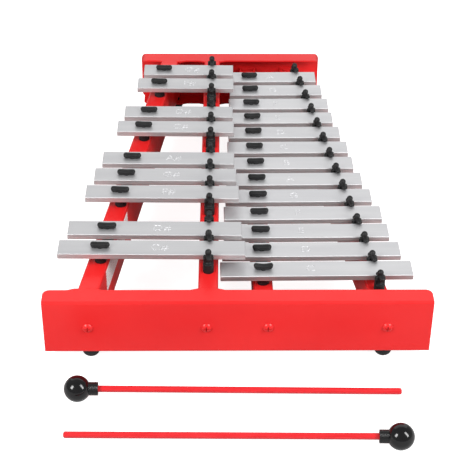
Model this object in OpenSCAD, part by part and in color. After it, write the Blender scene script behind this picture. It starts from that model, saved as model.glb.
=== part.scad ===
// Chromatic glockenspiel on a folded-steel frame, with its pair of mallets.
// Two rows of aluminium bars lie across four rails. Each bar is held at one of its
// two still points by a rubber toggle through a hole, and at the other by rubber
// posts that stand in the gaps between the bars.
// +X is to the right, +Y runs from the longest bars to the shortest, +Z is up.
// Inside the modules, y is 0 at the front plate's outer face and z is 0 on the table.

/* [Frame] */
// Width of the front plate, by the longest bars
front_plate_w = 312; // [300:2:340]
// Width of the back plate, by the shortest bars
back_plate_w = 183.5; // [170:0.5:230]
// Length of the frame from plate face to plate face
frame_l = 418; // [412:2:440]
// Height of both end plates
plate_h = 51; // [50:0.5:56]
// Thickness of the sheet steel
sheet_t = 1.6; // [1.4:0.1:1.6]
// Depth of the plates' flanges
flange_d = 16.5; // [15:0.5:18]
// Outer radius of the bend between web and flange
bend_r = 2; // [1.8:0.2:3.6]
// Radius of the flanges' free corners
corner_r = 5.5; // [3:0.5:7]

/* [Rails] */
// Width of a rail
rail_w = 16; // [15.6:0.2:17]
// Outer radius of a rail's top bends
rail_bend_r = 2.2; // [2:0.1:2.6]
// Height of the rails' lower edges above the plates' undersides
rail_gap = 9.5; // [9:0.5:11]
// Outer lines of posts and toggles: distance from the centre line at the front plate's face
outer_front_x = 120.5; // [116:0.5:124]
// Outer lines of posts and toggles: distance from the centre line at the back plate's face
outer_back_x = 58.5; // [54:0.5:66]
// Half the distance between the inner rails' middles at the front plate's face
inner_front_x = 23; // [21:0.5:24]
// Half the distance between the inner rails' middles at the back plate's face
inner_back_x = 18.2; // [17.6:0.2:19]
// How far the pair of inner rails stands to the left of the centre line
inner_shift = 1.2; // [0:0.2:1.4]
// Width of the outer accidental rail
label_rail_w = 17.2; // [16:0.2:18]
// How far the outer accidental rail's middle lies outside its toggles and screws
label_rail_shift = 2.1; // [0:0.1:2.4]

/* [Bars] */
// Length of the lowest bar
longest_bar_l = 157.5; // [152:0.5:162]
// Width of every bar
bar_w = 20; // [19:0.5:20.5]
// Thickness of every bar
bar_t = 5; // [4:0.5:6]
// Spacing of the natural bars
natural_pitch = 26.9; // [26.6:0.1:27.2]
// Spacing of the accidental bars
accidental_pitch = 27.4; // [27.2:0.1:27.6]
// Where the first natural bar crosses the centre line
natural_start = 44; // [43:0.5:45]
// Where the first accidental bar crosses the centre line
accidental_start = 54.9; // [53.9:0.5:55.9]
// Diameter of the hole in each bar
bar_hole_d = 5.4; // [5.2:0.1:7]

/* [Rubber parts] */
// Height of the pads and shoulders that the bars rest on
pad_h = 8.7; // [8:0.1:10]
// How far a bar can lift before its toggle and posts stop it
bar_play = 0.4; // [0.3:0.1:0.8]
// Diameter of a toggle's round pad
pad_d = 10; // [9:0.5:11]
// Diameter of a post's shoulder
shoulder_d = 9; // [8.6:0.2:9.6]
// Diameter of the necks of toggles and posts
neck_d = 4.6; // [4.4:0.1:5.8]
// Diameter of the feet
foot_d = 14.5; // [13:0.5:15]
// Height of the feet below the plates
foot_h = 8.5; // [7:0.5:10]

/* [Mallets] */
// Diameter of a mallet's head
head_d = 21; // [18:0.5:26]
// Diameter of a mallet's stick
stick_d = 5.2; // [4.6:0.2:6]
// Distance from the head's centre to the far end of the stick
mallet_reach = 256; // [230:2:280]

/* [Hidden] */
$fn = 48;
fine_fn = 96; // for the mallets' heads and the screws' domes
natural_steps = [0, 2, 4, 5, 7, 9, 11, 12, 14, 16, 17, 19, 21]; // semitones above the lowest bar
accidental_steps = [1, 3, 6, 8, 10, 13, 15, 18, 20];
natural_bars = [for (i = [1:len(natural_steps)]) str("natural_bar_", i)];
accidental_bars = [for (i = [1:len(accidental_steps)]) str("accidental_bar_", i)];

// Heights above the table
frame_top = foot_h + plate_h;
natural_rail_top = frame_top - pad_h - bar_t; // puts the natural bars level with the frame's top
rail_bottom = foot_h + rail_gap;
screw_drop = 0.3; // below the plates' middle
screw_z = foot_h + plate_h / 2 - screw_drop;

// A bar that is free at both ends stands still this share of its length in from each end
still_point = 0.2242;
// The bars are square to the inner rails
bar_turn = atan((inner_front_x - inner_back_x) / frame_l);
bar_edge = 0.4; // chamfer on the bars' edges

tongue_l = 2;      // the flanges reach this much further where a rail meets them
tongue_flare = 6;
tab_h = 19;        // height of a rail's end tabs
rail_notch = 14;   // from the back plate, in the natural rails' tops
bend_relief = 1;   // the rails stay this far clear of the inside of the plates' bends

plug_d = 5.9;      // rubber plugs in the rails' holes
plug_barb_d = 7.6;
barb_h = 2.6;        // barbs on plugs and stems
barb_gap = 0.4;      // between a plug's barb and the rail's sheet
rail_hole_d = 6;
stem_hole_d = 5.5; // holes for the feet's stems in the bottom flanges
pad_taper = 1.2;     // a toggle's pad is this much narrower at its top
neck_waist = 1.4;    // its neck is this much narrower just under the head
toggle_head_l = 16;
toggle_head_d = 4.8;
toggle_flat = 0.5;   // cut off the underside of the toggles' heads
post_tip_d = 5.6;
post_h = pad_h + bar_t + 8;
post_fin_w = 3.4;
post_grip_l = 14.4;  // the pair of fins that reach over the bars
post_grip_w = 4.6;
post_rib_w = 8.4;
natural_post_turn = 18; // their fins stand a little askew in the gaps

screw_d = 4;
screw_fit = 0.1;      // holes are this much wider than the screws' shanks
screw_head_d = 8.6;
screw_head_h = 2.5;
screw_slot = [4.2, 0.9, 2.6]; // each arm of the cross recess, half of it above the head
screw_l = 9;
nut_af = 7;
nut_t = 3.2;
// The inner rails' screws sit towards the outside of their tabs
natural_screw_shift = 2.6;
accidental_screw_shift = 1.1;
back_plate_shift = 1;    // the back plate's middle lies this far left of the centre line
back_corner_r = 6;       // rounding of the back plate's four corners
foot_y = 9;              // from the plates' outer faces
foot_inset = 1;          // towards the centre line from the outer lines
foot_edge_r = 5.2;

label_size = [88, 20, 0.3];
label_start = 46;     // from the front plate's face
label_drop = 3;       // below the rail's top

collar_d = 10.6;
collar_reach = 16.3;  // from the head's centre
stick_socket = 4;     // the stick ends this far short of the head's centre
far_mallet_at = [-126.5, -46.2];
near_mallet_at = [121.5, -101.2];
far_mallet_turn = 1;
near_mallet_turn = 177.4;
mallet_tilt = asin((head_d - stick_d) / 2 / mallet_reach);

// The origin is under the middle of the whole object's bounding box
y_min = near_mallet_at.y - head_d / 2;
y_max = frame_l + screw_head_h;
y_middle = (y_min + y_max) / 2;

red = "#e53535";
rubber = "#2b2b2d";

// ---- Places ----

function bar_l(step) = longest_bar_l * pow(2, -step / 24);
// An accidental sits over the gap behind the natural one semitone below it
function gap_of(step) = search(step - 1, natural_steps)[0];
function natural_y(step) = natural_start + search(step, natural_steps)[0] * natural_pitch;
function accidental_y(step) = accidental_start + gap_of(step) * accidental_pitch;

// Lines that run from front to back, as [x at the front plate's face, x at the back plate's face].
// The accidentals' lines are mirrored to the left.
outer_line = [outer_front_x, outer_back_x];
natural_inner = [inner_front_x - inner_shift, inner_back_x - inner_shift];
accidental_inner = [inner_front_x + inner_shift, inner_back_x + inner_shift];
accidental_outer = [outer_front_x + label_rail_shift, outer_back_x + label_rail_shift];
function rail_x(rail, y) = rail[0] + (rail[1] - rail[0]) * y / frame_l;
function rail_turn(rail) = atan((rail[0] - rail[1]) / frame_l);
// Where a line that crosses the centre line at y, and turns with the bars, meets a rail
function on_rail(rail, y) =
  let (lean = (rail[1] - rail[0]) / frame_l, slope = tan(bar_turn),
       x = (rail[0] + lean * y) / (1 - lean * slope))
  [x, y + slope * x];

natural_toggle_places = [for (s = natural_steps) on_rail(natural_inner, natural_y(s))];
accidental_toggle_places = [for (s = accidental_steps) on_rail(outer_line, accidental_y(s))];
natural_post_places = [
  for (i = [0:len(natural_steps)]) on_rail(outer_line, natural_start + (i - 0.5) * natural_pitch)
];
last_gap = gap_of(accidental_steps[len(accidental_steps) - 1]);
accidental_post_places = [
  for (i = [0:last_gap + 1])
    on_rail(accidental_inner, accidental_start + (i - 0.5) * accidental_pitch)
];
function screw_xs(y) = [
  rail_x(outer_line, y),
  rail_x(natural_inner, y) + natural_screw_shift,
  -rail_x(outer_line, y),
  -rail_x(accidental_inner, y) - accidental_screw_shift
];

function foot_xs(y) = [for (side = [-1, 1]) side * (rail_x(outer_line, y) - foot_inset)];

// Stands everything on the shared origin
module placed() {
  translate([0, -y_middle, 0])
    children();
}

// Accidental parts are laid out like natural ones and mirrored to the left
module on_left() {
  mirror([1, 0, 0])
    children();
}

// Turns front-plate parts round to the back plate
module at_back() {
  translate([0, frame_l, 0])
    mirror([0, 1, 0])
      children();
}

// ---- End plates ----

// Outline of a sheet channel lying open towards +X, w deep and h high
module channel_outline(w, h, r) {
  translate([r, 0])
    square([w - r, h]);
  translate([0, r])
    square([w, h - 2 * r]);
  for (y = [r, h - r])
    translate([r, y])
      circle(r);
}

module folded_plate(w, shift) {
  translate([-w / 2 - shift, 0, foot_h])
    rotate([90, 0, 90])
      linear_extrude(w)
        difference() {
          channel_outline(flange_d, plate_h, bend_r);
          translate([sheet_t, sheet_t])
            channel_outline(flange_d, plate_h - 2 * sheet_t, bend_r - sheet_t);
        }
}

// Rounds the two free corners of both flanges
module flange_corners(w, shift) {
  for (side = [-1, 1])
    translate([side * (w / 2 - corner_r) - shift, flange_d - corner_r, foot_h - 1])
      difference() {
        translate([side > 0 ? 0 : -corner_r - 1, 0, 0])
          cube([corner_r + 1, corner_r + 1, plate_h + 2]);
        cylinder(r = corner_r, h = plate_h + 2);
      }
}

// Short flared tongue where a rail of width w meets a flange
module tongue(x, w, z) {
  translate([x, flange_d, z])
    linear_extrude(sheet_t)
      polygon([
        [-w / 2 - tongue_flare, -1], [w / 2 + tongue_flare, -1], [w / 2 + tongue_flare, 0],
        [w / 2, tongue_l], [-w / 2, tongue_l], [-w / 2 - tongue_flare, 0]
      ]);
}

// The sheet of a plate of width w, whose middle lies shift to the left of the centre line,
// with the tongues for the rails that reach it at y
module plate_sheet(w, shift, y) {
  difference() {
    folded_plate(w, shift);
    flange_corners(w, shift);
  }
  for (x = [rail_x(outer_line, y), rail_x(natural_inner, y)])
    tongue(x, rail_w, foot_h);
  for (z = [foot_h, frame_top - sheet_t]) {
    tongue(-rail_x(accidental_outer, y), label_rail_w, z);
    tongue(-rail_x(accidental_inner, y), rail_w, z);
  }
}

module plate_holes(y) {
  for (x = screw_xs(y))
    translate([x, -1, screw_z])
      rotate([-90, 0, 0])
        cylinder(d = screw_d + screw_fit, h = sheet_t + 2);
  for (x = foot_xs(y))
    translate([x, foot_y, foot_h - 1])
      cylinder(d = stem_hole_d, h = sheet_t + 2);
}

// Upright board with rounded corners, standing on the plates' underside
module rounded_board(w, depth, h, r) {
  translate([0, depth, foot_h])
    rotate([90, 0, 0])
      linear_extrude(depth) {
        translate([-w / 2, r])
          square([w, h - 2 * r]);
        translate([r - w / 2, 0])
          square([w - 2 * r, h]);
        for (x = [r - w / 2, w / 2 - r], z = [r, h - r])
          translate([x, z])
            circle(r);
      }
}

module front_plate() {
  color(red)
    difference() {
      plate_sheet(front_plate_w, 0, 0);
      plate_holes(0);
    }
}

module back_plate() {
  color(red)
    at_back()
      difference() {
        intersection() {
          plate_sheet(back_plate_w, back_plate_shift, frame_l);
          translate([-back_plate_shift, 0, 0])
            rounded_board(back_plate_w, flange_d + tongue_l, plate_h, back_corner_r);
        }
        plate_holes(frame_l);
      }
}

// ---- Rails ----

// Solid bar with a rail's rounded top, along +Y from the front to past the back
module rail_blank(rail, w, top, r) {
  spare = 20;
  translate([rail[0], 0, 0])
    rotate([0, 0, rail_turn(rail)])
      translate([0, frame_l + spare, rail_bottom])
        rotate([90, 0, 0])
          linear_extrude(frame_l + 2 * spare) {
            h = top - rail_bottom;
            translate([-w / 2, -1])
              square([w, h - r + 1]);
            translate([r - w / 2, -1])
              square([w - 2 * r, h + 1]);
            for (side = [-1, 1])
              translate([side * (w / 2 - r), h - r])
                circle(r);
          }
}

// Keeps what lies between two values of y, in both halves of the frame
module between(y, depth, z, height) {
  intersection() {
    children();
    translate([-front_plate_w, y, z])
      cube([2 * front_plate_w, depth, height]);
  }
}

module end_tab(rail, w, top, y, screw_x) {
  difference() {
    between(y, sheet_t, screw_z - tab_h / 2, tab_h)
      rail_blank(rail, w - sheet_t, top, rail_bend_r - sheet_t / 2);
    translate([screw_x, y - 1, screw_z])
      rotate([-90, 0, 0])
        cylinder(d = screw_d + screw_fit, h = sheet_t + 2);
  }
}

// flush rails share their top with the flanges and are cut away below them; the others are
// notched down to their end tabs at the back plate
module rail(rail, w, top, flush, screw_shift, holes) {
  difference() {
    between(sheet_t, frame_l - 2 * sheet_t, rail_bottom, top)
      difference() {
        rail_blank(rail, w, top, rail_bend_r);
        translate([0, 0, -sheet_t])
          rail_blank(rail, w - 2 * sheet_t, top, rail_bend_r - sheet_t);
      }
    if (flush)
      for (y = [0, frame_l])
        translate([0, y, frame_top]) {
          cube([2 * front_plate_w, 2 * (flange_d + tongue_l), 2 * sheet_t], center = true);
          cube([2 * front_plate_w, 2 * (bend_r + bend_relief), 2 * (bend_r + bend_relief)],
               center = true);
        }
    else
      translate([-front_plate_w, frame_l - rail_notch, screw_z + tab_h / 2])
        cube([2 * front_plate_w, rail_notch + 1, plate_h]);
    for (place = holes)
      translate([place.x, place.y, top - sheet_t - 1])
        cylinder(d = rail_hole_d, h = sheet_t + 2);
  }
  end_tab(rail, w, top, sheet_t, rail[0] + screw_shift);
  end_tab(rail, w, top, frame_l - 2 * sheet_t, rail[1] + screw_shift);
}

module rail_natural_inner() {
  color(red)
    rail(natural_inner, rail_w, natural_rail_top, false, natural_screw_shift,
         natural_toggle_places);
}

module rail_natural_outer() {
  color(red)
    rail(outer_line, rail_w, natural_rail_top, false, 0, natural_post_places);
}

module rail_accidental_inner() {
  color(red)
    on_left()
      rail(accidental_inner, rail_w, frame_top, true, accidental_screw_shift,
           accidental_post_places);
}

module rail_accidental_outer() {
  color(red)
    on_left()
      rail(accidental_outer, label_rail_w, frame_top, true, -label_rail_shift,
           accidental_toggle_places);
}

// ---- Bars ----

// Flat bar with chamfered edges, from x = 0 to l, centred on y
module bar_blank(l) {
  module edge_outline(w) {
    polygon([
      [bar_edge, 0], [w - bar_edge, 0], [w, bar_edge], [w, bar_t - bar_edge],
      [w - bar_edge, bar_t], [bar_edge, bar_t], [0, bar_t - bar_edge], [0, bar_edge]
    ]);
  }
  intersection() {
    translate([0, bar_w / 2, 0])
      rotate([90, 0, 0])
        linear_extrude(bar_w)
          edge_outline(l);
    translate([0, -bar_w / 2, 0])
      rotate([90, 0, 90])
        linear_extrude(l)
          edge_outline(bar_w);
  }
}

// A bar whose hole is at place, with the given share of its length on the centre line's side
module bar(place, step, inner_share, z) {
  l = bar_l(step);
  color("silver")
    translate([place.x, place.y, z])
      rotate([0, 0, bar_turn])
        difference() {
          translate([-inner_share * l, 0, 0])
            bar_blank(l);
          translate([0, 0, -1])
            cylinder(d = bar_hole_d, h = bar_t + 2);
        }
}

module natural_bar(i) {
  bar(natural_toggle_places[i], natural_steps[i], still_point, natural_rail_top + pad_h);
}

module accidental_bar(i) {
  on_left()
    bar(accidental_toggle_places[i], accidental_steps[i], 1 - still_point, frame_top + pad_h);
}

// ---- Rubber parts ----

// Barbed plug below a rail's top, hanging from z = 0
module plug() {
  translate([0, 0, -sheet_t - 1])
    cylinder(d = plug_d, h = sheet_t + 1);
  translate([0, 0, -sheet_t - barb_gap - barb_h])
    cylinder(d1 = plug_d - 2, d2 = plug_barb_d, h = barb_h);
}

// Pad, neck through the bar and round bar-shaped head, standing on a rail at z = 0
module toggle() {
  head_r = toggle_head_d / 2;
  head_z = pad_h + bar_t + bar_play;
  plug();
  cylinder(d1 = pad_d, d2 = pad_d - pad_taper, h = pad_h);
  cylinder(d = neck_d, h = pad_h + bar_t);
  cylinder(d = neck_d - neck_waist, h = head_z + 1);
  translate([0, 0, head_z])
    intersection() {
      translate([0, 0, head_r - toggle_flat]) {
        rotate([0, 90, 0])
          cylinder(r = head_r, h = toggle_head_l - 2 * head_r, center = true);
        for (side = [-1, 1])
          translate([side * (toggle_head_l / 2 - head_r), 0, 0])
            rotate([0, 90, 0])
              sphere(head_r);
      }
      translate([-toggle_head_l, -toggle_head_d, 0])
        cube([2 * toggle_head_l, 2 * toggle_head_d, 2 * toggle_head_d]);
    }
}

// Upright fin of length l along X and width w through a post's middle, highest in the middle
module post_fin(l, w) {
  reach = l / 2;
  tip_r = post_tip_d / 2;
  rotate([90, 0, 0])
    linear_extrude(w, center = true)
      polygon([
        [-reach + 0.6, 0], [reach - 0.6, 0], [reach, 0.6], [reach, 2], [reach - 1, 3],
        [tip_r - 0.4, 4.6], [0.4 - tip_r, 4.6], [1 - reach, 3], [-reach, 2], [-reach, 0.6]
      ]);
}

// Shoulder, ribbed neck, finned retaining head and round tip, standing on a rail at z = 0
module post() {
  fin_z = pad_h + bar_t + bar_play;
  plug();
  cylinder(d = shoulder_d, h = pad_h);
  cylinder(d = neck_d, h = fin_z + 1);
  translate([-post_rib_w / 2, -post_fin_w / 2, pad_h - 1])
    cube([post_rib_w, post_fin_w, fin_z - pad_h + 1.5]);
  translate([0, 0, fin_z]) {
    post_fin(shoulder_d, post_fin_w);
    rotate([0, 0, 90])
      post_fin(post_grip_l, post_grip_w);
    cylinder(d = post_tip_d, h = post_h - post_tip_d / 2 - fin_z);
  }
  translate([0, 0, post_h - post_tip_d / 2])
    sphere(d = post_tip_d);
}

// Copies of a rubber part on a rail
module along(places, z, turn) {
  for (place = places)
    translate([place.x, place.y, z])
      rotate([0, 0, turn])
        children();
}

module natural_toggles() {
  color(rubber)
    along(natural_toggle_places, natural_rail_top, bar_turn)
      toggle();
}

module accidental_toggles() {
  color(rubber)
    on_left()
      along(accidental_toggle_places, frame_top, bar_turn)
        toggle();
}

module natural_posts() {
  color(rubber)
    along(natural_post_places, natural_rail_top, natural_post_turn)
      post();
}

module accidental_posts() {
  color(rubber)
    on_left()
      along(accidental_post_places, frame_top, rail_turn(accidental_inner))
        post();
}

// ---- Fasteners and feet ----

// Pan-head screw with a cross recess, its head's underside at y = 0 and its shank along +Y
module screw() {
  dome_r = (pow(screw_head_d / 2, 2) + pow(screw_head_h, 2)) / (2 * screw_head_h);
  rotate([-90, 0, 0]) {
    cylinder(d = screw_d, h = screw_l);
    difference() {
      intersection() {
        translate([0, 0, dome_r - screw_head_h])
          sphere(dome_r, $fn = fine_fn);
        translate([0, 0, -screw_head_h])
          cylinder(d = screw_head_d, h = screw_head_h);
      }
      for (turn = [0, 90])
        rotate([0, 0, turn])
          translate([0, 0, -screw_head_h])
            cube(screw_slot, center = true);
    }
  }
}

module nut() {
  rotate([-90, 0, 0])
    difference() {
      rotate([0, 0, 30])
        cylinder(d = nut_af / cos(30), h = nut_t, $fn = 6);
      translate([0, 0, -1])
        cylinder(d = screw_d + screw_fit, h = nut_t + 2);
    }
}

module screws(y) {
  color(red)
    for (x = screw_xs(y))
      translate([x, 0, screw_z])
        screw();
}

module nuts(y) {
  color("lightgray")
    for (x = screw_xs(y))
      translate([x, 2 * sheet_t, screw_z])
        nut();
}

// Domed foot with a barbed stem through the bottom flange
module foot() {
  r = foot_d / 2;
  rotate_extrude() {
    square([r - foot_edge_r, foot_h]);
    translate([0, foot_edge_r])
      square([r, foot_h - foot_edge_r]);
    intersection() {
      translate([r - foot_edge_r, foot_edge_r])
        circle(foot_edge_r);
      square([r, foot_h]);
    }
  }
  translate([0, 0, foot_h])
    cylinder(d = stem_hole_d - screw_fit, h = sheet_t + 1);
  translate([0, 0, foot_h + sheet_t])
    cylinder(d1 = stem_hole_d + 1.4, d2 = stem_hole_d - 1, h = barb_h);
}

module feet(y) {
  color(rubber)
    for (x = foot_xs(y))
      translate([x, foot_y, 0])
        foot();
}

// ---- Label ----

// Paper label on the wall of the outer accidental rail that faces the centre line
module rail_label() {
  wall = label_rail_w / 2;
  color("white")
    on_left()
      translate([accidental_outer[0], 0, 0])
        rotate([0, 0, rail_turn(accidental_outer)])
          translate([-wall - label_size.z, label_start, frame_top - label_drop - label_size.y])
            cube([label_size.z, label_size.x, label_size.y]);
}

// ---- Mallets ----

// Lays a mallet on the table, its head at place and its stick running off along +X
module laid_mallet(place, turn) {
  translate([place.x, place.y, head_d / 2])
    rotate([0, 0, turn])
      rotate([0, mallet_tilt, 0])
        children();
}

module mallet_head() {
  color("#1d1d1f")
    difference() {
      rotate([0, 90, 0]) {
        sphere(d = head_d, $fn = fine_fn);
        cylinder(d = collar_d, h = collar_reach);
      }
      translate([stick_socket, 0, 0])
        rotate([0, 90, 0])
          cylinder(d = stick_d, h = collar_reach);
    }
}

module mallet_stick() {
  tip = 0.8;
  color(red)
    translate([stick_socket, 0, 0])
      rotate([0, 90, 0]) {
        cylinder(d = stick_d, h = mallet_reach - stick_socket - tip);
        translate([0, 0, mallet_reach - stick_socket - tip])
          cylinder(d1 = stick_d, d2 = stick_d - 2 * tip, h = tip);
      }
}

module far_mallet() {
  laid_mallet(far_mallet_at, far_mallet_turn)
    children();
}

module near_mallet() {
  laid_mallet(near_mallet_at, near_mallet_turn)
    children();
}

// ---- The assembly ----

placed() {
  front_plate();
  back_plate();
  rail_natural_inner();
  rail_natural_outer();
  rail_accidental_inner();
  rail_accidental_outer();
  for (i = [0:len(natural_bars) - 1])
    natural_bar(i);
  for (i = [0:len(accidental_bars) - 1])
    accidental_bar(i);
  natural_toggles();
  accidental_toggles();
  natural_posts();
  accidental_posts();
  screws(0);  // front_screws
  at_back() screws(frame_l);  // back_screws
  nuts(0);  // front_nuts
  at_back() nuts(frame_l);  // back_nuts
  feet(0);  // front_feet
  at_back() feet(frame_l);  // back_feet
  rail_label();
  far_mallet() mallet_head();  // far_mallet_head
  far_mallet() mallet_stick();  // far_mallet_stick
  near_mallet() mallet_head();  // near_mallet_head
  near_mallet() mallet_stick();  // near_mallet_stick
}
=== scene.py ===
"""Glockenspiel: materials, moulded rubber parts, stamped note names and studio."""
import math

import bmesh
import bpy
from mathutils import Matrix, Vector


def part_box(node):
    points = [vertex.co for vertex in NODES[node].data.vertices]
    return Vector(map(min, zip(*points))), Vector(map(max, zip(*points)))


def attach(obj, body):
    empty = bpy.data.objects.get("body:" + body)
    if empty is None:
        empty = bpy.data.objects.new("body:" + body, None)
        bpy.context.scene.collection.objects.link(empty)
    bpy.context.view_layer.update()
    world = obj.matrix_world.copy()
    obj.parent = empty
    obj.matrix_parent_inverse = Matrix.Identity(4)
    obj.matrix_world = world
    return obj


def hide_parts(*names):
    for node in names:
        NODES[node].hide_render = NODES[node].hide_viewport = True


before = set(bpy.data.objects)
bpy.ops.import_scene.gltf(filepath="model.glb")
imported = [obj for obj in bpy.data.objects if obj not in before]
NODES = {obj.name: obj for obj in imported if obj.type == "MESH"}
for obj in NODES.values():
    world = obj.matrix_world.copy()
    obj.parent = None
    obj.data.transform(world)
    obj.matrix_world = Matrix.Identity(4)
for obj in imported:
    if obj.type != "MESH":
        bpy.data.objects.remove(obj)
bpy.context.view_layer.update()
MM = 0.001
COLLAR_RING = 1.1 * MM  # spacing of the rings on a mallet head's collar

# ---------------------------------------------------------------- node helpers


def new_material(name):
    """An empty node material, its Principled shader and a function that adds nodes."""
    mat = bpy.data.materials.new(name)
    mat.use_nodes = True
    tree = mat.node_tree
    shader = tree.nodes["Principled BSDF"]

    def add(kind, **settings):
        node = tree.nodes.new(kind)
        for key, value in settings.items():
            if key in node.inputs:
                node.inputs[key].default_value = value
            else:
                setattr(node, key, value)
        return node

    return mat, tree.links, shader, add


def object_coords(add, links, scale=(1, 1, 1), turn=0.0):
    """Object coordinates, turned about Z and stretched."""
    coords = add("ShaderNodeTexCoord")
    mapping = add("ShaderNodeMapping")
    mapping.inputs["Rotation"].default_value = (0, 0, turn)
    mapping.inputs["Scale"].default_value = scale
    links.new(coords.outputs["Object"], mapping.inputs["Vector"])
    return mapping.outputs["Vector"]


def noise(add, links, coords, scale, detail=3.0, roughness=0.5):
    """Noise of the given scale, about 0.3 to 0.7."""
    node = add("ShaderNodeTexNoise", Scale=scale, Detail=detail, Roughness=roughness)
    links.new(coords, node.inputs["Vector"])
    return node.outputs["Fac"]


def spread(add, links, value, low, high):
    """Maps a noise value to low..high."""
    node = add("ShaderNodeMapRange")
    node.inputs["From Min"].default_value = 0.3
    node.inputs["From Max"].default_value = 0.7
    node.inputs["To Min"].default_value = low
    node.inputs["To Max"].default_value = high
    links.new(value, node.inputs["Value"])
    return node.outputs["Result"]


def colour_between(add, links, value, a, b):
    """Maps a noise value to colours from a to b."""
    ramp = add("ShaderNodeValToRGB")
    ramp.color_ramp.elements[0].position = 0.3
    ramp.color_ramp.elements[1].position = 0.7
    ramp.color_ramp.elements[0].color = (*a, 1)
    ramp.color_ramp.elements[1].color = (*b, 1)
    links.new(value, ramp.inputs["Fac"])
    return ramp.outputs["Color"]


def bump(add, links, height, strength, distance, below=None):
    """Normal raised by height, on top of the normal below."""
    node = add("ShaderNodeBump", Strength=strength, Distance=distance)
    links.new(height, node.inputs["Height"])
    if below is not None:
        links.new(below, node.inputs["Normal"])
    return node.outputs["Normal"]


def math_node(add, links, operation, a, b=None):
    """Math node; a is a socket, and b is a socket, a number or nothing."""
    node = add("ShaderNodeMath", operation=operation)
    links.new(a, node.inputs[0])
    if isinstance(b, float):
        node.inputs[1].default_value = b
    elif b is not None:
        links.new(b, node.inputs[1])
    return node.outputs["Value"]


# ------------------------------------------------------------------- materials


def soft_edges(add, radius):
    """Normal with every edge rounded off by radius."""
    return add("ShaderNodeBevel", Radius=radius, samples=6).outputs["Normal"]


def painted_steel():
    """Red powder coat: fine orange peel, a faint unevenness and softened edges."""
    mat, links, shader, add = new_material("red_powder_coat")
    coords = object_coords(add, links)
    shade = noise(add, links, coords, 11, 4)
    links.new(colour_between(add, links, shade, (0.595, 0.012, 0.013), (0.655, 0.016, 0.016)),
              shader.inputs["Base Color"])
    links.new(spread(add, links, noise(add, links, coords, 60, 3), 0.30, 0.40),
              shader.inputs["Roughness"])
    shader.inputs["Specular IOR Level"].default_value = 0.28
    edges = soft_edges(add, 0.45 * MM)
    low = bump(add, links, noise(add, links, coords, 38, 2), 0.12, 0.8 * MM, edges)
    peel = noise(add, links, coords, 750, 2)
    links.new(bump(add, links, peel, 0.10, 0.12 * MM, low), shader.inputs["Normal"])
    return mat


def painted_side_shade_mask(add, links):
    """1 on a bar's broad faces, 0 on its edges and ends, where the darker side colour is painted
    shade.
    """
    geometry = add("ShaderNodeNewGeometry")
    split = add("ShaderNodeSeparateXYZ")
    links.new(geometry.outputs["True Normal"], split.inputs["Vector"])
    flatness = math_node(add, links, "ABSOLUTE", split.outputs["Z"])
    step = add("ShaderNodeMapRange")
    step.inputs["From Min"].default_value = 0.4
    step.inputs["From Max"].default_value = 0.6
    links.new(flatness, step.inputs["Value"])
    return step.outputs["Result"]


def mixed(add, links, kind, factor, a, b):
    """Mix node of two colours ("RGBA") or two numbers ("FLOAT")."""
    node = add("ShaderNodeMix", data_type=kind)
    input_a, input_b, result = {"RGBA": (6, 7, 2), "FLOAT": (2, 3, 0)}[kind]
    links.new(factor, node.inputs[0])
    for socket, value in ((input_a, a), (input_b, b)):
        if isinstance(value, (tuple, float)):
            node.inputs[socket].default_value = (*value, 1) if kind == "RGBA" else value
        else:
            links.new(value, node.inputs[socket])
    return node.outputs[result]


def satin_aluminium(name, turn, shade):
    """Bar metal: brushed broad faces with grain along the bar; the side faces and ends get a
    darker, streaky colour as painted shade.
    """
    mat, links, shader, add = new_material(name)
    grain = noise(add, links, object_coords(add, links, (16, 1100, 1100), turn), 1.0, 4, 0.65)
    broad = noise(add, links, object_coords(add, links, (9, 70, 70), turn), 1.0, 3)
    # shade scales the broad faces' colour; the lower value given to the accidental bars is painted
    # shade.
    low, high = [[shade * c for c in rgb] for rgb in ((0.66, 0.66, 0.675), (0.72, 0.72, 0.73))]
    top = colour_between(add, links, broad, low, high)
    # Painted shade: the side faces and ends get this darker, streaky colour instead of the top
    # colour.
    side_shade_streaks = noise(add, links, object_coords(add, links, (20, 500, 1400), turn), 1.0, 3)
    edge = colour_between(add, links, side_shade_streaks, (0.54, 0.53, 0.535), (0.70, 0.69, 0.69))
    up = painted_side_shade_mask(add, links)
    links.new(mixed(add, links, "RGBA", up, edge, top), shader.inputs["Base Color"])
    shader.inputs["Metallic"].default_value = 1.0
    links.new(spread(add, links, grain, 0.52, 0.64), shader.inputs["Roughness"])
    edges = soft_edges(add, 0.3 * MM)
    links.new(bump(add, links, grain, 0.14, 0.05 * MM, edges), shader.inputs["Normal"])
    return mat


def stamped_aluminium():
    """Bright, speckled bottom of a stamped letter."""
    mat, links, shader, add = new_material("stamped_aluminium")
    coords = object_coords(add, links)
    speck = noise(add, links, coords, 900, 3)
    links.new(colour_between(add, links, speck, (0.42, 0.42, 0.43), (0.95, 0.95, 0.97)),
              shader.inputs["Base Color"])
    shader.inputs["Metallic"].default_value = 1.0
    links.new(spread(add, links, speck, 0.22, 0.5), shader.inputs["Roughness"])
    links.new(bump(add, links, speck, 0.5, 0.15 * MM), shader.inputs["Normal"])
    return mat


def moulded_rubber():
    """Charcoal rubber with a matt, finely grained skin."""
    mat, links, shader, add = new_material("moulded_rubber")
    coords = object_coords(add, links)
    cloud = noise(add, links, coords, 160, 4)
    links.new(colour_between(add, links, cloud, (0.006, 0.006, 0.0065), (0.013, 0.013, 0.0135)),
              shader.inputs["Base Color"])
    links.new(spread(add, links, noise(add, links, coords, 500, 3), 0.44, 0.58),
              shader.inputs["Roughness"])
    shader.inputs["Specular IOR Level"].default_value = 0.26
    grain = noise(add, links, coords, 2400, 2)
    links.new(bump(add, links, grain, 0.25, 0.08 * MM), shader.inputs["Normal"])
    return mat


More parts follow.
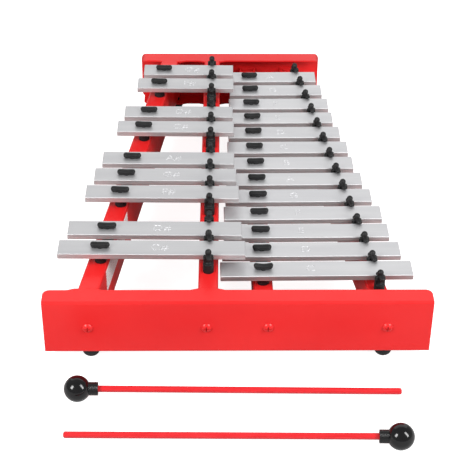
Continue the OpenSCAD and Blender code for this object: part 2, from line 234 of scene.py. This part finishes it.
def zinc_plate():
    """Bright plating with a cloudy bloom."""
    mat, links, shader, add = new_material("zinc_plate")
    coords = object_coords(add, links)
    bloom = noise(add, links, coords, 350, 4)
    links.new(colour_between(add, links, bloom, (0.52, 0.53, 0.55), (0.68, 0.68, 0.69)),
              shader.inputs["Base Color"])
    shader.inputs["Metallic"].default_value = 1.0
    links.new(spread(add, links, bloom, 0.28, 0.45), shader.inputs["Roughness"])
    links.new(bump(add, links, bloom, 0.1, 0.05 * MM, soft_edges(add, 0.25 * MM)),
              shader.inputs["Normal"])
    return mat


def coated_paper():
    """White label with thin grey ruled lines and no writing."""
    mat, links, shader, add = new_material("coated_paper")
    coords = object_coords(add, links)
    fibre = noise(add, links, coords, 700, 4)
    paper = colour_between(add, links, fibre, (0.80, 0.79, 0.78), (0.88, 0.87, 0.86))
    split = add("ShaderNodeSeparateXYZ")
    links.new(coords, split.inputs["Vector"])
    row = math_node(add, links, "PINGPONG", split.outputs["Z"], 1.3 * MM)
    line = math_node(add, links, "LESS_THAN", row, 0.3 * MM)
    links.new(mixed(add, links, "RGBA", line, paper, (0.22, 0.215, 0.22)),
              shader.inputs["Base Color"])
    shader.inputs["Roughness"].default_value = 0.45
    links.new(bump(add, links, fibre, 0.15, 0.04 * MM), shader.inputs["Normal"])
    return mat


def distance_from_ball(add, links, coords, node):
    """Distance from the middle of a mallet's ball, and the ball's radius."""
    low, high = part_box(node)
    radius = (high.z - low.z) / 2
    x = high.x - radius if "near" in node else low.x + radius
    away = add("ShaderNodeVectorMath", operation="DISTANCE")
    away.inputs[1].default_value = (x, (low.y + high.y) / 2, radius)
    links.new(coords, away.inputs[0])
    return away.outputs["Value"], radius


def black_ball(node):
    """Polished hard plastic; the collar is duller, with fine moulded rings around it."""
    mat, links, shader, add = new_material(node + "_polished_black")
    coords = object_coords(add, links)
    cloud = noise(add, links, coords, 90, 3)
    links.new(colour_between(add, links, cloud, (0.0030, 0.0030, 0.0034), (0.0065, 0.0065, 0.007)),
              shader.inputs["Base Color"])
    shader.inputs["Specular IOR Level"].default_value = 0.36
    away, radius = distance_from_ball(add, links, coords, node)
    collar = math_node(add, links, "GREATER_THAN", away, radius + 0.3 * MM)
    haze = spread(add, links, noise(add, links, coords, 220, 3), 0.10, 0.16)
    links.new(mixed(add, links, "FLOAT", collar, haze, 0.34), shader.inputs["Roughness"])
    turns = math_node(add, links, "MULTIPLY", away, 2 * math.pi / COLLAR_RING)
    rings = math_node(add, links, "MULTIPLY", math_node(add, links, "SINE", turns), collar)
    marks = bump(add, links, noise(add, links, coords, 300, 2), 0.05, 0.1 * MM,
                 soft_edges(add, 0.3 * MM))
    links.new(bump(add, links, rings, 0.5, 0.12 * MM, marks), shader.inputs["Normal"])
    return mat


def red_rod():
    """Drawn plastic rod: glossy, with fine streaks along it."""
    mat, links, shader, add = new_material("red_rod")
    streak = noise(add, links, object_coords(add, links, (25, 700, 700)), 1.0, 3)
    links.new(colour_between(add, links, streak, (0.50, 0.010, 0.014), (0.60, 0.014, 0.019)),
              shader.inputs["Base Color"])
    links.new(spread(add, links, streak, 0.20, 0.32), shader.inputs["Roughness"])
    links.new(bump(add, links, streak, 0.08, 0.05 * MM), shader.inputs["Normal"])
    return mat


def dress(node, material):
    """Gives every slot of a CAD node a material."""
    mesh = NODES[node].data
    if not mesh.materials:
        mesh.materials.append(material)
    for i in range(len(mesh.materials)):
        mesh.materials[i] = material


# ------------------------------------------------------------- reading the CAD

NATURALS = [f"natural_bar_{i}" for i in range(1, 14)]
ACCIDENTALS = [f"accidental_bar_{i}" for i in range(1, 10)]


def top_corner(node, fx, fy):
    """The point of a bar's top face that lies furthest along (fx, fy)."""
    verts = [v.co for v in NODES[node].data.vertices]
    top = max(v.z for v in verts)
    return max((v for v in verts if v.z > top - 0.05 * MM), key=lambda v: fx * v.x + fy * v.y)


def bar_middle_line(node):
    """Left and right end of the middle line of a bar's top face."""
    ends = []
    for side in (-1, 1):
        near, far = top_corner(node, side, -0.2), top_corner(node, side, 0.2)
        ends.append((near + far) / 2)
    return ends


def solids(node):
    """(lowest corner, highest corner) of each separate solid of a grouped CAD node."""
    bm = bmesh.new()
    bm.from_mesh(NODES[node].data)
    bmesh.ops.remove_doubles(bm, verts=bm.verts, dist=0.001 * MM)
    bm.verts.index_update()
    seen, boxes = set(), []
    for start in bm.verts:
        if start.index in seen:
            continue
        stack, group = [start], []
        seen.add(start.index)
        while stack:
            v = stack.pop()
            group.append(v.co)
            for e in v.link_edges:
                other = e.other_vert(v)
                if other.index not in seen:
                    seen.add(other.index)
                    stack.append(other)
        boxes.append((Vector([min(c[i] for c in group) for i in range(3)]),
                      Vector([max(c[i] for c in group) for i in range(3)])))
    bm.free()
    return sorted(boxes, key=lambda b: b[0].y)


# ----------------------------------------------------------------- mesh pieces

# Sizes of the rubber parts, in millimetres above a rail's top
LOW_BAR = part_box("natural_bar_1")
PAD_H = (LOW_BAR[0].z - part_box("rail_natural_outer")[1].z) / MM
BAR_T = (LOW_BAR[1].z - LOW_BAR[0].z) / MM
PLAY = 0.4  # between a bar's top and the heads over it
HEAD_Z = PAD_H + BAR_T + PLAY
POST_H = PAD_H + BAR_T + 8
HEAD_L, HEAD_W = 15.9, 5.3  # a toggle's head
FOOT_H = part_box("front_plate")[0].z / MM  # above the table


def arc(cx, cy, r, start, end, count=5):
    """(radius, height) points of an arc, angles in degrees."""
    return [(cx + r * math.cos(math.radians(start + (end - start) * i / count)),
             cy + r * math.sin(math.radians(start + (end - start) * i / count)))
            for i in range(count + 1)]


def skin(bm, rings):
    """Joins rings of equally many points, given in millimetres, and closes both ends."""
    rows = [[bm.verts.new(Vector(p) * MM) for p in ring] for ring in rings]
    count = len(rows[0])
    for low, high in zip(rows, rows[1:]):
        for i in range(count):
            j = (i + 1) % count
            bm.faces.new((low[i], low[j], high[j], high[i]))
    bm.faces.new(list(reversed(rows[0])))
    bm.faces.new(rows[-1])


def turned(bm, profile, outline=None, segments=40):
    """Turns (radius, height) points about +Z; outline(angle, height) can push a ring outwards."""
    rings = []
    for radius, height in profile:
        ring = []
        for i in range(segments):
            angle = 2 * math.pi * i / segments
            r = max(radius, outline(angle, height)) if outline else radius
            ring.append((r * math.cos(angle), r * math.sin(angle), height))
        rings.append(ring)
    skin(bm, rings)


PLUG = [(1.5, -4.55), (1.95, -4.5), (3.65, -2.35), (3.75, -2.08), (2.95, -1.98), (2.93, -0.02)]


def superround(angle, low_power, high_power):
    """Point of a rounded section: boxy below and rounder above."""
    c, d = math.cos(angle), math.sin(angle)
    power = low_power if d < 0 else high_power
    return math.copysign(abs(c) ** power, c), math.copysign(abs(d) ** power, d)


def blunt(t, start, least):
    """1 along the middle of a bar from t = -1 to 1, rounded off past start down to least."""
    past = max(0.0, (abs(t) - start) / (1 - start))
    return max(math.sqrt(max(1 - past ** 2, 0.0)), least)


def one_toggle(bm):
    """Pad and neck in one turning, with a blunt bar-shaped head across the top."""
    turned(bm, PLUG + arc(4.6, 0.4, 0.4, -80, 10) + arc(4.0, PAD_H - 0.5, 0.5, 0, 85)
           + [(2.6, PAD_H - 0.01), (2.28, PAD_H + 0.3), (2.25, HEAD_Z + 0.6), (1.2, HEAD_Z + 1.4)])
    rings = []
    for k in range(27):
        t = math.sin((-1 + k / 13) * math.pi / 2)
        plan = blunt(t, 0.70, 0.16)
        low = 0.36 * abs(t) ** 8 - 0.06
        high = 4.28 - 0.15 * math.exp(-(t / 0.45) ** 2)
        middle, half = (low + high) / 2, (high - low) / 2 * blunt(t, 0.78, 0.3)
        ring = []
        for i in range(24):
            c, d = superround(2 * math.pi * i / 24, 0.4, 0.85)
            ring.append((HEAD_L / 2 * t, HEAD_W / 2 * plan * c, HEAD_Z + middle + half * d))
        rings.append(ring)
    skin(bm, rings)


def rib_outline(angle, height):
    """Ribs either side of a post's neck."""
    c, d = abs(math.cos(angle)), abs(math.sin(angle))
    if not PAD_H - 0.5 < height < HEAD_Z + 0.1:
        return 0
    return min(4.1 / max(c, 0.01), 1.5 / max(d, 0.01))


def fin(bm, reach, width, height, across):
    """Rounded fin along X, or along Y when across is true, falling away from the tip.
    A fin along Y is shorter in its far half."""
    rings = []
    for k in range(25):
        t = math.sin((-1 + k / 12) * math.pi / 2)
        plan = blunt(t, 0.74, 0.2)
        low = 0.05 + 0.3 * abs(t) ** 6
        high = height + 1.6 * (1 - abs(t)) ** 2
        middle, half = (low + high) / 2, (high - low) / 2 * max(plan, 0.45)
        ring = []
        for i in range(20):
            c, d = superround(2 * math.pi * i / 20, 0.5, 0.9)
            side, up = width / 2 * plan * c, HEAD_Z + middle + half * d
            along = reach * t * (0.7 if across and t > 0 else 1)
            ring.append((-side, along, up) if across else (along, side, up))
        rings.append(ring)
    skin(bm, rings)


def one_post(bm):
    """Shoulder, ribbed neck, head with long and short fins, and domed tip."""
    heights = [PAD_H + 0.35, PAD_H + 2, HEAD_Z - 0.9, HEAD_Z + 0.05, HEAD_Z + 0.15]
    turned(bm, PLUG + arc(4.1, 0.4, 0.4, -80, 0) + arc(3.9, PAD_H - 0.6, 0.6, 0, 80)
           + [(3.0, PAD_H + 0.03)] + [(2.25, h) for h in heights]
           + [(2.3, HEAD_Z + 1.5), (2.6, POST_H - 3.2)]
           + arc(0, POST_H - 2.65, 2.65, 5, 84, 8), rib_outline, 72)
    fin(bm, 4.1, 3.3, 1.9, False)
    fin(bm, 7.15, 4.3, 3.3, True)


def one_foot(bm):
    """Domed foot with a dimple underneath and a barbed stem above."""
    turned(bm, [(0.5, 0.7), (1.1, 0.55), (1.5, 0.12), (1.75, 0.0), (2.1, 0.0)]
           + arc(2.05, 5.2, 5.2, -88, 0, 12) + arc(6.85, FOOT_H - 0.45, 0.4, 0, 85, 3)
           + [(4, FOOT_H - 0.03), (2.7, FOOT_H - 0.02), (2.65, FOOT_H + 1.6), (3.4, FOOT_H + 1.7),
              (3.45, FOOT_H + 2), (2.4, FOOT_H + 4), (1.8, FOOT_H + 4.15)], None, 56)


def mould_of(one):
    """Mesh of one rubber part, standing at the origin."""
    bm = bmesh.new()
    one(bm)
    shape = bpy.data.meshes.new("mould")
    bm.to_mesh(shape)
    bm.free()
    return shape


def lift_ends(verts, lift):
    """Curls up the two ends of a toggle's head."""
    for v in verts:
        if v.co.z > HEAD_Z * MM:
            v.co.z += lift * (v.co.x / (8 * MM)) ** 2


def rubber_mesh(name, node, one, base_z, turn, unrest, curl):
    """A copy of one rubber part at each solid of a grouped CAD node."""
    shape = mould_of(one)
    bm = bmesh.new()
    for k, (low, high) in enumerate(solids(node)):
        start = len(bm.verts)
        bm.from_mesh(shape)
        bm.verts.ensure_lookup_table()
        verts = bm.verts[start:]
        lift_ends(verts, curl.get(k, 0.0))
        place = Matrix.Translation(((low.x + high.x) / 2, (low.y + high.y) / 2, base_z))
        askew = turn + unrest * math.sin(2.4 * k)
        bmesh.ops.transform(bm, matrix=place @ Matrix.Rotation(askew, 4, "Z"), verts=verts)
    bpy.data.meshes.remove(shape)
    bmesh.ops.recalc_face_normals(bm, faces=bm.faces)
    mesh = bpy.data.meshes.new(name)
    bm.to_mesh(mesh)
    bm.free()
    return mesh


def rubber_piece(name, node, one, base_z, turn=0.0, unrest=0.0, curl=None):
    """Detailed rubber parts that replace a grouped CAD node.
    unrest twists them a little one by one; curl lifts the ends of the numbered heads."""
    mesh = rubber_mesh(name, node, one, base_z, turn, unrest, curl or {})
    for face in mesh.polygons:
        face.use_smooth = True
    mesh.materials.append(RUBBER)
    piece = bpy.data.objects.new(name, mesh)
    bpy.context.scene.collection.objects.link(piece)
    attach(piece, "frame")
    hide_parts(node)


def note_name(node, letters, share):
    """A thin stamped name on a bar's top, at a share of its length from the left end."""
    left, right = bar_middle_line(node)
    font = bpy.data.curves.new(node + "_name", "FONT")
    font.body = letters
    font.size = 11.5 * MM
    font.align_x = "CENTER"
    font.align_y = "CENTER"
    font.offset = -0.15 * MM
    font.extrude = 0.03 * MM
    font.bevel_depth = 0.15 * MM
    font.materials.append(STAMPED)
    piece = bpy.data.objects.new(node + "_name", font)
    piece.location = left.lerp(right, share) + Vector((0, 0, 0.02 * MM))
    piece.rotation_euler.z = math.atan2(right.y - left.y, right.x - left.x)
    bpy.context.scene.collection.objects.link(piece)
    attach(piece, node)


# --------------------------------------------------------------------- camera


def make_camera():
    """Looks down over the longest bars, a little turned and tipped."""
    heading, pitch, roll = (math.radians(a) for a in (1.45, 35.54, -0.785))
    aside, behind, above = -0.0234, 0.8550, 0.7342  # from the middle of the front plate's foot
    ahead = Vector((math.sin(heading) * math.cos(pitch),
                    math.cos(heading) * math.cos(pitch), -math.sin(pitch)))
    right = Vector((math.cos(heading), -math.sin(heading), 0))
    down = ahead.cross(right)
    tipped_right = right * math.cos(roll) + down * math.sin(roll)
    tipped_down = down * math.cos(roll) - right * math.sin(roll)
    data = bpy.data.cameras.new("camera")
    data.lens = 104.4
    data.clip_end = 20
    cam = bpy.data.objects.new("camera", data)
    rotation = Matrix((tipped_right, -tipped_down, -ahead)).transposed().to_4x4()
    place = Vector((aside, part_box("front_plate")[0].y - behind, above))
    cam.matrix_world = Matrix.Translation(place) @ rotation
    bpy.context.scene.collection.objects.link(cam)
    bpy.context.scene.camera = cam


def area_light(name, at, target, size, power):
    """Softbox of the given size that faces target."""
    data = bpy.data.lights.new(name, "AREA")
    data.shape = "RECTANGLE"
    data.size, data.size_y = size
    data.energy = power
    lamp = bpy.data.objects.new(name, data)
    lamp.location = at
    lamp.rotation_euler = (Vector(target) - Vector(at)).to_track_quat("-Z", "Y").to_euler()
    bpy.context.scene.collection.objects.link(lamp)


def make_sky():
    """Weak, even light from all round."""
    world = bpy.data.worlds.new("studio")
    world.use_nodes = True
    world.node_tree.nodes["Background"].inputs["Color"].default_value = (1, 1, 1, 1)
    world.node_tree.nodes["Background"].inputs["Strength"].default_value = 0.40
    bpy.context.scene.world = world


def white_table():
    """Table top that looks plain white but throws back little light."""
    mat, links, shader, add = new_material("white_table")
    shader.inputs["Base Color"].default_value = (0.55, 0.55, 0.55, 1)
    shader.inputs["Roughness"].default_value = 0.9
    shader.inputs["Specular IOR Level"].default_value = 0.1
    shader.inputs["Emission Color"].default_value = (1, 1, 1, 1)
    seen = add("ShaderNodeLightPath")
    glow = math_node(add, links, "MULTIPLY", seen.outputs["Is Camera Ray"], 0.88)
    links.new(glow, shader.inputs["Emission Strength"])
    return mat


def make_floor():
    """The table, just under everything that stands on it."""
    mesh = bpy.data.meshes.new("floor")
    mesh.from_pydata([(-6, -6, 0), (6, -6, 0), (6, 6, 0), (-6, 6, 0)], [], [(0, 1, 2, 3)])
    mesh.materials.append(white_table())
    floor = bpy.data.objects.new("floor", mesh)
    floor.location.z = -0.05 * MM
    bpy.context.scene.collection.objects.link(floor)


def make_studio():
    """White table, one softbox each side in front, a pale wall and a weak sky."""
    bpy.context.scene.view_settings.view_transform = "Standard"
    area_light("left_box", (-1.15, -0.95, 1.05), (0, 0, 0), (0.55, 0.75), 28)
    area_light("right_box", (1.2, -0.80, 1.15), (0, 0, 0), (0.42, 1.25), 34)
    area_light("back_wall", (0, 2.3, 1.6), (0, 0, 0.1), (4.4, 2.2), 25)
    make_sky()
    make_floor()


# ------------------------------------------------------------------- assembly

PAINT = painted_steel()
RUBBER = moulded_rubber()
STAMPED = stamped_aluminium()
for node in ("front_plate", "back_plate", "rail_natural_inner", "rail_natural_outer",
             "rail_accidental_inner", "rail_accidental_outer", "front_screws", "back_screws"):
    dress(node, PAINT)

left, right = bar_middle_line(NATURALS[0])
bar_turn = math.atan2(right.y - left.y, right.x - left.x)
# The accidental bars get a darker copy of the same aluminium (0.88 against 0.97): painted shade.
natural_metal = satin_aluminium("natural_aluminium", -bar_turn, 0.97)
accidental_metal = satin_aluminium("accidental_aluminium", bar_turn, 0.88)
for node, letter in zip(NATURALS, "CDEFGABCDEFGA"):
    dress(node, natural_metal)
    note_name(node, letter, 0.47)
for node, letter in zip(ACCIDENTALS, "CDFGACDFG"):
    dress(node, accidental_metal)
    note_name(node, letter + "#", 0.54)

natural_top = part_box("rail_natural_outer")[1].z
accidental_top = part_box("rail_accidental_outer")[1].z
rubber_piece("natural_toggle_rubber", "natural_toggles", one_toggle, natural_top, bar_turn,
             math.radians(1.5), {0: 1.1 * MM, 5: 0.3 * MM, 9: 0.2 * MM})
rubber_piece("accidental_toggle_rubber", "accidental_toggles", one_toggle,
             accidental_top, -bar_turn - math.radians(2), math.radians(1.5), {1: 0.3 * MM})
rubber_piece("natural_post_rubber", "natural_posts", one_post, natural_top,
             math.radians(18), math.radians(5))
rubber_piece("accidental_post_rubber", "accidental_posts", one_post, accidental_top,
             math.radians(7), math.radians(8))
rubber_piece("front_foot_rubber", "front_feet", one_foot, 0)
rubber_piece("back_foot_rubber", "back_feet", one_foot, 0)

zinc = zinc_plate()
for node in ("front_nuts", "back_nuts"):
    dress(node, zinc)
dress("rail_label", coated_paper())
for side in ("far", "near"):
    dress(f"{side}_mallet_head", black_ball(f"{side}_mallet_head"))
    dress(f"{side}_mallet_stick", red_rod())

make_camera()
make_studio()
